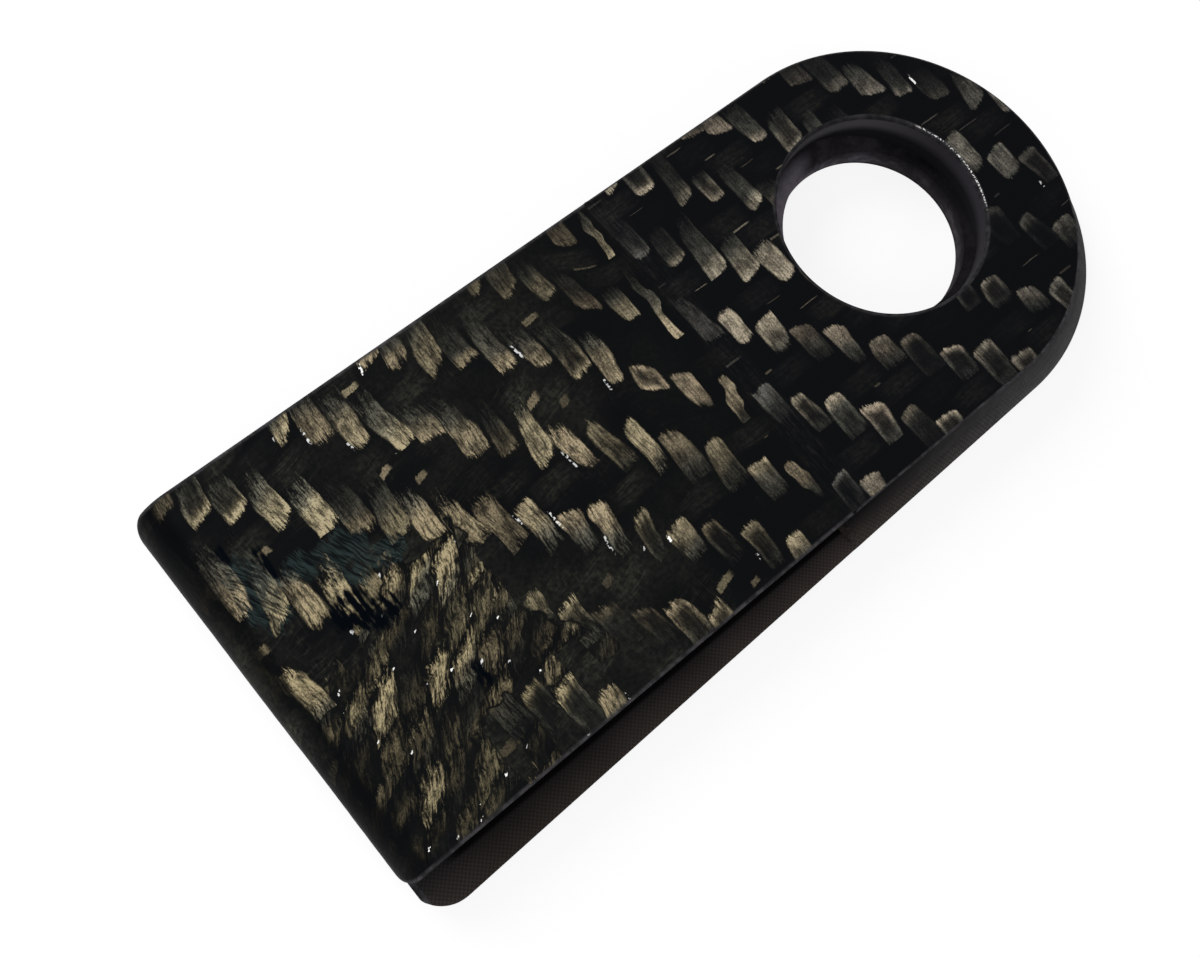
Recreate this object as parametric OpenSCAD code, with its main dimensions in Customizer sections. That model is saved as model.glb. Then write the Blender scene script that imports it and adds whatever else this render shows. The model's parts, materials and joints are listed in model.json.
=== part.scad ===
// Folded carbon-fibre strap with an eye.
// A stack of plies is folded in a U, so that two leaves lie one above the other. Packing plies fill
// the space between the leaves at the eye half, and leave an open slot behind them, up to the bend.
// The outermost and innermost layers of a leaf are separate plies at the eye half and at the tail half.
// Each leaf has its own hole. Seen from above, the lower one lies inside the upper one, off its axis.
// All pieces are bonded together by their resin.
// Frame: Z up, X from the bend towards the eye. The origin is on the upper hole's axis, at the underside.

/* [Upper leaf] */
// Width of the upper leaf
strap_w = 32; // [24:0.5:60]
// From the upper hole's axis back to the outside of the bend
tail_l = 61; // [45:0.5:120]
// Radius of the upper leaf's corners at the bend, in plan
upper_corner_r = 1.2; // [0.5:0.1:4]

/* [Lower leaf] */
// How far the lower leaf stands out past the upper one on the right, beside the eye
ledge_eye = 1.7; // [0.2:0.1:4]
// How far it stands out on the right at the bend
ledge_tail = 3.1; // [0.2:0.1:5]
// How far the centre of its round end lies ahead of the upper leaf's
lower_eye_ahead = 2; // [0:0.1:4]
// Radius of its right corner at the bend, in plan
lower_corner_r = 3; // [0.5:0.1:5]

/* [Eye] */
// Diameter of the upper leaf's hole
hole_d = 17.6; // [8:0.1:20]
// How far this hole lies left of the upper leaf's centreline
hole_side = 1; // [0:0.1:2]
// How much smaller across the lower leaf's hole is
lower_hole_less = 1.8; // [0:0.1:3]
// How far the lower hole's axis lies ahead of the upper one's
lower_hole_ahead = 0.8; // [0:0.05:1]
// How far it lies to the right of it
lower_hole_right = 0.25; // [0:0.05:1]
// How far the packing plies stop short of the upper hole's wall
hole_recess = 0.9; // [0.2:0.1:2]
// From the upper hole's axis back to the end of the packing, where the plies of both halves meet
eye_l = 19.2; // [15:0.2:30]

/* [Lay-up] */
// Cured thickness of one ply of a leaf
ply_t = 0.4; // [0.2:0.05:0.6]
// Cured thickness of one packing ply
packing_t = 0.6; // [0.3:0.05:1.2]

/* [Hidden] */
$fn = 96;

// Layers of a leaf, from its outer face to the slot
leaf_layers = ["cover", "bias", "strap_outer", "strap_inner", "lining"];
leaf_plies = len(leaf_layers);
packing_plies = 4;

// How deep a layer's outer face lies below the leaf's outer face
function depth_of(name) = search([name], leaf_layers)[0] * ply_t;

leaf_t = leaf_plies * ply_t;
slot_h = packing_plies * packing_t;
height = 2 * leaf_t + slot_h;

// The bend is half of a tube as thick as a leaf, round the middle of the slot
bend_r = height / 2;
bend_x = bend_r - tail_l;

// Both leaves share their left edge
left_y = strap_w / 2 - hole_side;
right_y = left_y - strap_w;

// Cutting solids reach this far past what they cut
past = 5;
front_x = strap_w / 2 + lower_eye_ahead + ledge_eye + past;
side_y = strap_w + ledge_tail + past;

// A flat layer from height low to height high: a round end between a straight left edge and a right
// edge that runs from the bend to meet the round end at a tangent. At share 0 it has the upper
// leaf's outline and at share 1 the lower leaf's.
module layer(share, low, high) {
    layer_t = high - low;
    eye_r = strap_w / 2 + share * ledge_eye / 2;
    eye = [share * lower_eye_ahead, left_y - eye_r];
    tail = [-tail_l, right_y - share * ledge_tail];
    right_r = upper_corner_r + share * (lower_corner_r - upper_corner_r);

    // Direction from the eye's centre to the point where the right edge touches the round end
    to_tail = tail - eye;
    turn = atan2(to_tail.y, to_tail.x) + acos(eye_r / norm(to_tail));
    out = [cos(turn), sin(turn)];

    // Centres of the corners at the bend
    left_c = [-tail_l + upper_corner_r, left_y - upper_corner_r];
    right_x = -tail_l + right_r;
    right_c = [right_x, eye.y + (eye_r - right_r - (right_x - eye.x) * out.x) / out.y];

    translate([0, 0, low]) union() {
        linear_extrude(layer_t) polygon([
            [left_c.x, left_y],
            [eye.x, left_y],
            eye + eye_r * out,
            right_c + right_r * out,
            [-tail_l, right_c.y],
            [-tail_l, left_c.y],
        ]);
        translate(eye) cylinder(r = eye_r, h = layer_t);
        translate(left_c) cylinder(r = upper_corner_r, h = layer_t);
        translate(right_c) cylinder(r = right_r, h = layer_t);
    }
}

// Everything ahead of the end of the packing
module eye_half() {
    translate([-eye_l, -side_y, -past])
        cube([eye_l + front_x, 2 * side_y, height + 2 * past]);
}

// Everything behind it
module tail_half() {
    translate([-tail_l - past, -side_y, -past])
        cube([tail_l + past - eye_l, 2 * side_y, height + 2 * past]);
}

// The upper hole's own cylinder, grown by clear on its radius
module upper_hole(clear = 0) {
    translate([0, 0, -past]) cylinder(d = hole_d + 2 * clear, h = height + 2 * past);
}

// The lower hole's own cylinder
module lower_hole() {
    translate([lower_hole_ahead, -lower_hole_right, -past])
        cylinder(d = hole_d - lower_hole_less, h = height + 2 * past);
}

// Side view of one ply folded round the slot: two straight runs and half of a ring
module fold_section(name) {
    outer = depth_of(name);
    inner = outer + ply_t;
    run = front_x - bend_x;
    translate([bend_x, outer]) square([run, ply_t]);
    translate([bend_x, height - inner]) square([run, ply_t]);
    difference() {
        translate([bend_x, height / 2]) circle(bend_r - outer);
        translate([bend_x, height / 2]) circle(bend_r - inner);
        translate([bend_x, -past]) square([run, height + 2 * past]);
    }
}

// The folded ply before it is trimmed: wider than both leaves
module fold(name) {
    translate([0, side_y, 0]) rotate([90, 0, 0]) linear_extrude(2 * side_y) fold_section(name);
}

// A folded ply, trimmed and drilled. Up to the lower leaf's top face it has the lower leaf's outline,
// so the ledge is flat up to the bend's outside, and above that it has the upper leaf's.
module folded_ply(name) {
    union() {
        difference() {
            intersection() {
                fold(name);
                layer(0, leaf_t, height);
            }
            upper_hole();
        }
        difference() {
            intersection() {
                fold(name);
                layer(1, 0, leaf_t);
            }
            lower_hole();
        }
    }
}

// A flat ply of the eye half, drilled with the hole that follows the call
module flat_ply(share, low, thick) {
    difference() {
        intersection() {
            layer(share, low, low + thick);
            eye_half();
        }
        children();
    }
}

// Twill ply on top of the eye half
module upper_cover_ply() {
    color("#24262a") flat_ply(0, height - ply_t, ply_t) upper_hole();
}

// Twill ply under the eye half
module lower_cover_ply() {
    color("#24262a") flat_ply(1, 0, ply_t) lower_hole();
}

// Twill ply that wraps the tail half: over the top, round the bend and back underneath
module wrap_cover_ply() {
    color("#2e2c28") intersection() {
        folded_ply("cover");
        tail_half();
    }
}

// Ply with its fibres on the bias
module bias_ply() {
    color("#1c1e22") folded_ply("bias");
}

// Two plies with their fibres along the strap
module strap_ply_outer() {
    color("#16171a") folded_ply("strap_outer");
}

module strap_ply_inner() {
    color("#16171a") folded_ply("strap_inner");
}

// Innermost plies of the eye half, which the packing is bonded to
module upper_eye_ply() {
    color("#2a2b2e") flat_ply(0, height - leaf_t, ply_t) upper_hole();
}

module lower_eye_ply() {
    color("#2a2b2e") flat_ply(1, leaf_t - ply_t, ply_t) lower_hole();
}

// Innermost ply of the tail half, which lines the slot and its round end
module slot_lining_ply() {
    color("#3a3433") intersection() {
        folded_ply("lining");
        tail_half();
    }
}

// One packing ply, counted from 1 upwards off the lower leaf. The sides of the stack slope from the
// lower leaf's outline up to the upper leaf's in even steps.
module packing_ply(number) {
    share = 1 - number / (packing_plies + 1);
    low = leaf_t + (number - 1) * packing_t;
    color("#46484c") flat_ply(share, low, packing_t) upper_hole(hole_recess);
}

upper_cover_ply();
lower_cover_ply();
wrap_cover_ply();
bias_ply();
strap_ply_outer();
strap_ply_inner();
upper_eye_ply();
lower_eye_ply();
slot_lining_ply();
packing_ply(1);  // packing_ply_1
packing_ply(2);  // packing_ply_2
packing_ply(3);  // packing_ply_3
packing_ply(4);  // packing_ply_4
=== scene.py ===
"""Looks of a folded carbon-fibre strap with an eye, built round its solids."""
import json
import math
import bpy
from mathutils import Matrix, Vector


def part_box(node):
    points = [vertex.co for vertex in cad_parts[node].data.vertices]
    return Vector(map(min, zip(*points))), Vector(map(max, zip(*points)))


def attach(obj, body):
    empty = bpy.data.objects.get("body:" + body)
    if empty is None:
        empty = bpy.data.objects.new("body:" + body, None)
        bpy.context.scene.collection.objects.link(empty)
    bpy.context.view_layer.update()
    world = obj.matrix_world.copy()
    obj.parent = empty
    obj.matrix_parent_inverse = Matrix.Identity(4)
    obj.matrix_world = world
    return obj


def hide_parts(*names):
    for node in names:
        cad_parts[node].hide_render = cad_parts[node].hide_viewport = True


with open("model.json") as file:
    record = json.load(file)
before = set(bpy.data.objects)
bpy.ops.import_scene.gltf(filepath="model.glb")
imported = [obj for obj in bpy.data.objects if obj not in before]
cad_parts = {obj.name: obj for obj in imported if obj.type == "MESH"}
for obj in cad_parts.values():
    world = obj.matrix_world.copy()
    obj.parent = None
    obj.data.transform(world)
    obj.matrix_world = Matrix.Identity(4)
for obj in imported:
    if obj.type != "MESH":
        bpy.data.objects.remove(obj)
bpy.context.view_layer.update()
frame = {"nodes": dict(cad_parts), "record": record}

from types import SimpleNamespace

import bpy
import numpy as np
from mathutils import Matrix, Vector

MM = 0.001

# Sizes read from the solids
UPPER_LOW, UPPER_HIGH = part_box("upper_cover_ply")
LOWER_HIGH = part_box("lower_cover_ply")[1]
MOUNTS = {mount["name"]: mount for mount in frame["record"]["mounts"]}
HOLE_R = MOUNTS["upper_bore"]["dims"]["r_mm"] * MM
LOWER_HOLE_R = MOUNTS["lower_bore"]["dims"]["r_mm"] * MM
LOWER_HOLE = np.array(MOUNTS["lower_bore"]["pos_m"][:2])
HEIGHT = UPPER_HIGH.z
PLY_T = UPPER_HIGH.z - UPPER_LOW.z
LEAF_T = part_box("lower_eye_ply")[1].z
CREASE_X = UPPER_LOW.x
LEFT_Y = UPPER_HIGH.y
RIGHT_Y = UPPER_LOW.y
UPPER_EYE_R = (LEFT_Y - RIGHT_Y) / 2
TAIL_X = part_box("wrap_cover_ply")[0].x
BEND_R = HEIGHT / 2
BEND_X = TAIL_X + BEND_R
LINING_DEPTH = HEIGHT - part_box("slot_lining_ply")[1].z

# Sizes of the two outlines and the packing, as in the solids
LEDGE_EYE = 1.7 * MM
LEDGE_TAIL = 3.1 * MM
UPPER_CORNER_R = 1.2 * MM
LOWER_CORNER_R = 3.0 * MM
HOLE_RECESS = 0.9 * MM
LOWER_EYE_AHEAD = LOWER_HIGH.x - UPPER_EYE_R - LEDGE_EYE / 2
PACKING_PLIES = 4

# Sanded edges: their radii, the rows of points that round them, and how near them the relief fades
RIM_R = 0.22 * MM
ARRIS_R = 0.12 * MM
RIM_TURNS = 6
ARRIS_TURNS = 5
EDGE_FADE = 0.5 * MM

# Angle past which an edge is shaded sharp, and distance within which two places are one
SHARP_ANGLE = math.radians(40)
TOUCH = 0.001 * MM

# The cloth: middle of one patch, pitch of its tows and how much each next tow at the eye half is wider
TOW_X = -16.45 * MM
TOW_Y = -0.25 * MM
TOW_ALONG = 2.0 * MM
TOW_ACROSS = 2.07 * MM
EYE_TOW_ALONG = 2.05 * MM
TOW_STRETCH = 0.009 * MM
TWILL = 4

# Behind the crease: where the cloth is set off to the left and by how much, and where and how it is skewed
SET_OFF_X = (-21 * MM, -27 * MM)
SET_OFF = 1.4 * MM
FAN = 0.06
SKEW_X = -28 * MM
SKEW = 0.18
SWAY = 0.10

# The cloth by the bend's right corner, which was pulled askew
PULLED_X = -50.75 * MM
PULLED_Y = -7.25 * MM
PULLED_ALONG = 2.2 * MM
PULLED_ACROSS = 1.25 * MM
PULLED_LEAN = 0.5
PULLED_CLIMB = 0.4

# Pitch of the yarns in the peel ply, and the place where the open ledge nears the bend
PEEL_PITCH = 0.38 * MM
LEDGE_BACK_X = TAIL_X + 5 * MM

# Relief of the cloth: of its weave, more of it where the cloth is uneven, and of long soft lumps there
WEAVE_RELIEF = 0.012 * MM
UNEVEN_RELIEF = 0.03 * MM
LUMP_RELIEF = 0.05 * MM
LUMP_SIZE = 9 * MM
LUMP_SEED = 3

# Where the cloth shows most of its pale patches, the light its tows reflect painted into their colour, in
# millimetres
BRIGHT_PLACES = [(-14, -3), (-42, 2)]

# From where to where its patches get greyer at the eye, wider and brighter to the bend, and longer and
# fuller to the left, and how far from the middle they are bright at one end only
GREYER_X = (-12 * MM, 14 * MM)
WIDER_X = (-34 * MM, -42 * MM)
BRIGHTER_X = (-36 * MM, -46 * MM)
LONGER_Y = (-5 * MM, 3 * MM)
FULLER_Y = (-13 * MM, 0.0)
ONE_END_Y = 7 * MM

# Dark pools in the resin over the wrap, and places of painted bluish sheen on it, in millimetres:
# centre and half widths along and across the strap
RESIN_POOLS = [(-52.7, 0.4, 1.7, 1.5), (-51.2, -1.0, 2.0, 1.2), (-55.2, 6.9, 0.4, 1.6),
               (-57.2, 8.8, 0.35, 1.0), (-48.3, -8.9, 0.5, 1.2)]
BLUE_SHEEN = [(-50.4, 3.5, 1.8, 2.4), (-53.4, 4.9, 1.4, 1.3), (-57.0, 5.2, 1.7, 3.3),
              (-48.1, 2.1, 1.5, 1.1)]

# Finishes: almost no highlight, and fine relief
SPECULAR = 0.01
BUMP_DEPTH = 0.02 * MM
BUMP_STRENGTH = 0.4

# Camera, fitted to the strap's outline: its place, and its focal length for a picture of that width
CAMERA_PLACE = (-57.52 * MM, -15.98 * MM, 93.69 * MM)
FOCAL_PX = 1246.18
PICTURE_PX = 1200
SENSOR_W = 36.0

# Light: what the lamps face, how much light the world gives, and how white the floor is to the eye
LAMP_AIM = (-20 * MM, 0, 0)
WORLD_LIGHT = 0.35
FLOOR_WHITE = 0.85


def smoothstep(low, high, value):
    """0 below low, 1 above high and an S-curve between them; low may be the larger one."""
    share = np.clip((value - low) / (high - low), 0, 1)
    return share * share * (3 - 2 * share)


# Outlines

def round_end(share):
    """Centre and radius of the round end, and the direction from there to the point where the right
    edge touches it. Share 0 is the upper leaf and share 1 the lower one."""
    radius = UPPER_EYE_R + share * LEDGE_EYE / 2
    centre = np.array([share * LOWER_EYE_AHEAD, LEFT_Y - radius])
    tail = np.array([TAIL_X, LEFT_Y - 2 * UPPER_EYE_R - share * LEDGE_TAIL])
    to_tail = tail - centre
    turn = math.atan2(to_tail[1], to_tail[0]) + math.acos(radius / np.linalg.norm(to_tail))
    return centre, radius, np.array([math.cos(turn), math.sin(turn)])


def left_edge(x):
    """Left edge at x: straight, with a round corner at the bend."""
    from_corner = np.clip(TAIL_X + UPPER_CORNER_R - x, 0, UPPER_CORNER_R)
    return LEFT_Y - UPPER_CORNER_R + np.sqrt(UPPER_CORNER_R**2 - from_corner**2)


def right_edge(x, share):
    """Right edge at x: the line that touches the round end, with a round corner at the bend."""
    centre, radius, out = round_end(share)
    corner_r = UPPER_CORNER_R + share * (LOWER_CORNER_R - UPPER_CORNER_R)
    line = centre[1] + (radius - (x - centre[0]) * out[0]) / out[1]
    corner_x = TAIL_X + corner_r
    corner_y = centre[1] + (radius - corner_r - (corner_x - centre[0]) * out[0]) / out[1]
    from_corner = np.clip(corner_x + corner_r * out[0] - x, 0, corner_r * (1 + out[0]))
    arc = corner_y - np.sqrt(np.maximum(corner_r**2 - (from_corner - corner_r * out[0])**2, 0))
    return np.where(from_corner > 0, arc, line)


def eye_reach(angle, share):
    """Distance from the hole's axis to the outline of the eye half along each angle: the nearest of the
    left edge, the right edge and the crease, or the round end where the ray meets it ahead of both."""
    centre, radius, out = round_end(share)
    ray = np.stack([np.cos(angle), np.sin(angle)], -1)
    tiny = 1e-9
    to_left = np.where(ray[:, 1] > tiny, LEFT_Y / np.maximum(ray[:, 1], tiny), 1)
    to_crease = np.where(ray[:, 0] < -tiny, CREASE_X / np.minimum(ray[:, 0], -tiny), 1)
    to_right = np.where(ray @ out > tiny, (radius + centre @ out) / np.maximum(ray @ out, tiny), 1)
    along = ray @ centre
    to_round = along + np.sqrt(along**2 - centre @ centre + radius**2)
    hit = ray * to_round[:, None] - centre
    left_touch = np.array([0, radius])
    chord = left_touch - radius * out
    ahead = (hit - left_touch) @ np.array([chord[1], -chord[0]]) >= 0
    return np.where(ahead, to_round, np.minimum(np.minimum(to_left, to_right), to_crease))


def lower_hole_reach(angle):
    """Distance from the upper hole's axis to the wall of the lower hole along each angle."""
    along = LOWER_HOLE[0] * np.cos(angle) + LOWER_HOLE[1] * np.sin(angle)
    return along + np.sqrt(along**2 - LOWER_HOLE @ LOWER_HOLE + LOWER_HOLE_R**2)


def eye_angles(share, count):
    """Angles round the hole, evenly spaced, with one on each corner at the crease."""
    right = math.atan2(float(right_edge(np.array(CREASE_X), share)), CREASE_X)
    left = math.atan2(LEFT_Y, CREASE_X)
    edge_count = round(count * (left - right) / math.tau)
    round_part = np.linspace(right, left, edge_count, endpoint=False)
    crease_part = np.linspace(left, right + math.tau, count - edge_count, endpoint=False)
    return np.concatenate([round_part, crease_part])


# Weave

def weave_place(x, y):
    """Place in the cloth, counted in tows: along the strap by the tows that cross it, and across it by the
    tows that run along it. A patch's middle lies half a tow along and one crossing across. The pitch grows
    towards the round end. Behind the crease the cloth is set off to the left, fanned out and skewed, and
    it sways a little."""
    ahead = (x - TOW_X) / MM
    pitch = EYE_TOW_ALONG / MM
    growth = TOW_STRETCH / MM
    stretched = (np.sqrt(pitch**2 + 4 * growth * np.maximum(ahead, 0)) - pitch) / (2 * growth)
    along = np.where(ahead < 0, ahead * MM / TOW_ALONG, stretched)
    behind = smoothstep(*SET_OFF_X, x)
    rise = SKEW * np.minimum(x - SKEW_X, 0) + behind * (SET_OFF + FAN * y)
    sway = SWAY * np.sin(y / (1.7 * MM) + 1.0) * behind
    swell = SWAY * np.sin(x / (1.9 * MM) + y / (3.1 * MM)) * behind
    across = (y - TOW_Y - rise) / TOW_ACROSS
    return along + sway + 0.5, across + swell + 1.0


def pulled_place(x, y):
    """Place in the cloth by the bend's right corner, where it was pulled askew: the tows that cross the
    strap lean ahead, and the tows along it climb to the left and lie closer."""
    ahead = x - PULLED_X
    side = y - PULLED_Y
    along = (ahead - PULLED_LEAN * side) / PULLED_ALONG
    across = (side - PULLED_CLIMB * ahead) / PULLED_ACROSS
    return along + 0.5, across + 1.0


def askew(x, y):
    """1 where the cloth was pulled askew and 0 elsewhere: right of a line that falls towards the bend, and
    behind a line that slants ahead to the right, but not on the last two tows by the right edge."""
    front_x = -44 * MM
    corner_x = -49 * MM
    edge_y = -12.3 * MM
    soft = 3 * MM
    behind = front_x - x + 0.55 * np.clip(-3 * MM - y, 0, 9 * MM)
    right = 0.5 * MM - y - 0.6 * np.maximum(corner_x - x, 0)
    off_edge = np.maximum(y - edge_y, corner_x - x)
    return smoothstep(-soft, soft, np.minimum(np.minimum(behind, right), off_edge))


def dullness(x, y):
    """How little the cloth shows of its pale patches: least in two places along the middle, more away from
    them, and all of it round the bend."""
    nearest = np.min([np.hypot(x - cx * MM, y - cy * MM) for cx, cy in BRIGHT_PLACES], axis=0)
    far = smoothstep(7 * MM, 22 * MM, nearest)
    bend = smoothstep(TAIL_X + 2.6 * MM, TAIL_X + 1.8 * MM, x)
    bend = bend * smoothstep(TAIL_X - 6 * MM, TAIL_X - 4 * MM, x)
    return np.maximum(0.42 * far, 0.97 * bend)


def blots(x, y, spots):
    """1 inside any of several ellipses, each given by its centre and half widths in millimetres, with a
    soft edge."""
    nearest = [np.hypot((x / MM - cx) / rx, (y / MM - cy) / ry) for cx, cy, rx, ry in spots]
    return smoothstep(1.25, 0.6, np.min(nearest, axis=0))


def weave_rise(along, across):
    """Height of the cloth, from 0 in the valleys to 1 on the crowns: each tow is a round bar on top for two
    crossings and under for two, one crossing later on each next tow."""
    tow = np.floor(along)
    climb = np.mod(across + tow, TWILL)
    crosswise = smoothstep(-0.15, 0.15, climb) * smoothstep(2.15, 1.85, climb)
    bar_across = np.abs(np.sin(math.pi * along))
    bar_along = np.abs(np.sin(math.pi * across))
    return crosswise * bar_across + (1 - crosswise) * bar_along


def lumps(x, y, size, seed):
    """A smooth rolling surface, mostly between -1 and 1: a dozen waves of like length in different
    directions, summed and divided by the root of their number."""
    draw = np.random.default_rng(seed)
    total = np.zeros_like(x)
    waves = 12
    for turn, phase, stretch in draw.random((waves, 3)):
        length = size * (0.7 + 0.6 * stretch)
        way = x * math.cos(turn * math.tau) + y * math.sin(turn * math.tau)
        total += np.sin(way * math.tau / length + phase * math.tau)
    return total / math.sqrt(waves)


def unrest(x, y):
    """How uneven the cloth lies: 0 at the eye half, more behind the crease and most by the bend."""
    behind = smoothstep(CREASE_X, CREASE_X - 14 * MM, x)
    by_bend = smoothstep(-36 * MM, -48 * MM, x) * smoothstep(9 * MM, -3 * MM, y)
    return 0.45 * behind + 0.55 * by_bend


# Meshes

def surface(name, points, ring=True, maps=None, fields=None):
    """A mesh of quads on a grid: the first axis runs round a closed section and the second along its
    path. The path closes on itself as a ring, or else a flat face closes each end. maps are its UV maps
    and fields its vector attributes, both by name."""
    rows, columns = points.shape[:2]
    index = np.arange(rows * columns).reshape(rows, columns)
    beside = np.roll(index, -1, axis=0)
    if ring:
        quads = np.stack([index, np.roll(index, -1, 1), np.roll(beside, -1, 1), beside], -1)
    else:
        quads = np.stack([index[:, :-1], index[:, 1:], beside[:, 1:], beside[:, :-1]], -1)
    quads = quads.reshape(-1, 4)
    place = points.reshape(-1, 3)
    corner = place[quads]
    facing = np.cross(corner[:, 2] - corner[:, 0], corner[:, 3] - corner[:, 1])
    volume = np.sum(corner[:, 0] * facing)
    caps = [] if ring else [index[:, 0], index[::-1, -1]]
    if volume < 0:
        quads = quads[:, ::-1]
        caps = [cap[::-1] for cap in caps]
    loops = np.concatenate([quads.ravel()] + caps)
    totals = np.array([4] * len(quads) + [len(cap) for cap in caps])
    mesh = bpy.data.meshes.new(name)
    mesh.vertices.add(len(place))
    mesh.vertices.foreach_set("co", place.astype(np.float32).ravel())
    mesh.loops.add(len(loops))
    mesh.loops.foreach_set("vertex_index", loops.astype(np.int32))
    mesh.polygons.add(len(totals))
    mesh.polygons.foreach_set("loop_start", (np.cumsum(totals) - totals).astype(np.int32))
    mesh.polygons.foreach_set("loop_total", totals.astype(np.int32))
    mesh.polygons.foreach_set("use_smooth", np.ones(len(totals), bool))
    mesh.update(calc_edges=True)
    mesh.set_sharp_from_angle(angle=SHARP_ANGLE)
    for key, values in (maps or {}).items():
        layer = mesh.uv_layers.new(name=key)
        layer.data.foreach_set("uv", values.reshape(-1, 2)[loops].astype(np.float32).ravel())
    for key, values in (fields or {}).items():
        field = mesh.attributes.new(key, "FLOAT_VECTOR", "POINT")
        field.data.foreach_set("vector", values.astype(np.float32).ravel())
    piece = bpy.data.objects.new(name, mesh)
    bpy.context.scene.collection.objects.link(piece)
    return piece


def ring_ply(angle, share_low, share_high, low, high, inner, rim_r, arris_r, steps, bulge=None):
    """Points of a flat ply round the hole. Its section goes up the hole's wall, over a round rim, along
    the top, over a round arris, down the outer wall and back along the bottom. inner is the distance from
    the upper hole's axis to the wall. The outer wall slopes from one outline to the other, and has no
    arris along the crease. bulge gives the top's own height at each place."""
    outer_low = eye_reach(angle, share_low)
    outer_high = eye_reach(angle, share_high)
    on_crease = np.abs(outer_high * np.cos(angle) - CREASE_X) < TOUCH
    arris = np.where(on_crease, 0, arris_r)
    turn = np.linspace(0, math.pi / 2, RIM_TURNS)
    run = np.linspace(0, 1, steps)[1:-1]
    part = np.concatenate([[0], 0 * turn, run, 0 * turn + 1, [1, 0.67, 0.33]])
    rim_shift = np.concatenate([[0], 1 - np.cos(turn), 1 - run, 0 * turn, [0, 0, 0]])
    arris_shift = np.concatenate([[0], 0 * turn, -run, np.sin(turn) - 1, [0, 0, 0]])
    rim_drop = np.concatenate([[0], 1 - np.sin(turn), 0 * run, 0 * turn, [0, 0, 0]])
    arris_drop = np.concatenate([[0], 0 * turn, 0 * run, 1 - np.cos(turn), [0, 0, 0]])
    base = np.concatenate([[low], 0 * turn + high, 0 * run + high, 0 * turn + high, [low, low, low]])
    z = (base - rim_r * rim_drop)[:, None] - arris * arris_drop[:, None]
    up = (z - low) / (high - low)
    outer = outer_low + (outer_high - outer_low) * up
    shift = (rim_r * rim_shift)[:, None] + arris * arris_shift[:, None]
    reach = inner + (outer - inner) * part[:, None] + shift
    x = reach * np.cos(angle)
    y = reach * np.sin(angle)
    if bulge is not None:
        to_edge = np.minimum(reach - inner - rim_r, np.where(on_crease, EDGE_FADE, outer - arris - reach))
        z = z + (up > 0.99) * bulge(x, y) * smoothstep(0, EDGE_FADE, to_edge)
    return np.stack([x, y, z], -1)


def folded_ply(part, shift, depth, steps, bulge=None):
    """Points of a ply folded in a U, and how far along its path each lies. The section is carried back
    along the upper leaf from the crease, round the bend and forward along the lower leaf. It widens from
    the upper outline to the lower one where it passes the level of the lower leaf's top. part goes across
    the ply from its left edge, 0, to its right edge, 1, shift moves a point sideways, and depth is
    measured from the strap's outer face. bulge is added to each point's radius. steps counts the points
    back along the upper leaf, round the bend to the lower leaf's top, and forward along the lower leaf."""
    radius = BEND_R - depth[:, None]
    lowest = math.pi - 0.05
    level = np.arccos(np.maximum((LEAF_T - BEND_R) / radius, math.cos(lowest)))
    run_top = np.linspace(CREASE_X, BEND_X, steps[0], endpoint=False)
    run_low = np.linspace(BEND_X, CREASE_X, steps[2])
    turn_top = level * np.linspace(0, 1, steps[1])
    turn_low = level + (math.pi - level) * np.linspace(0, 1, steps[1] // 2, endpoint=False)
    turn = np.concatenate([turn_top, turn_low], 1)
    straight = np.zeros((len(depth), 1))
    x_run = np.concatenate([straight + run_top, 0 * turn + BEND_X, straight + run_low], 1)
    bend = np.concatenate([straight + 0 * run_top, turn, straight + 0 * run_low + math.pi], 1)
    travel = np.concatenate([straight + run_top, BEND_X - BEND_R * turn,
                             straight + 2 * BEND_X - BEND_R * math.pi - run_low], 1)
    wide = np.arange(x_run.shape[1]) >= steps[0] + steps[1]
    flat_x = x_run - radius * np.sin(bend)
    left = left_edge(flat_x)
    right = np.where(wide, right_edge(flat_x, 1), right_edge(flat_x, 0))
    y = left + (right - left) * part[:, None] + shift[:, None]
    if bulge is not None:
        to_edge = np.minimum(left - y, y - right) - ARRIS_R
        radius = radius + bulge(travel, y, bend) * smoothstep(0, EDGE_FADE, to_edge)
    x = x_run - radius * np.sin(bend)
    z = HEIGHT / 2 + radius * np.cos(bend)
    return np.stack([x, y, z], -1), travel


# Shader helpers

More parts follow.
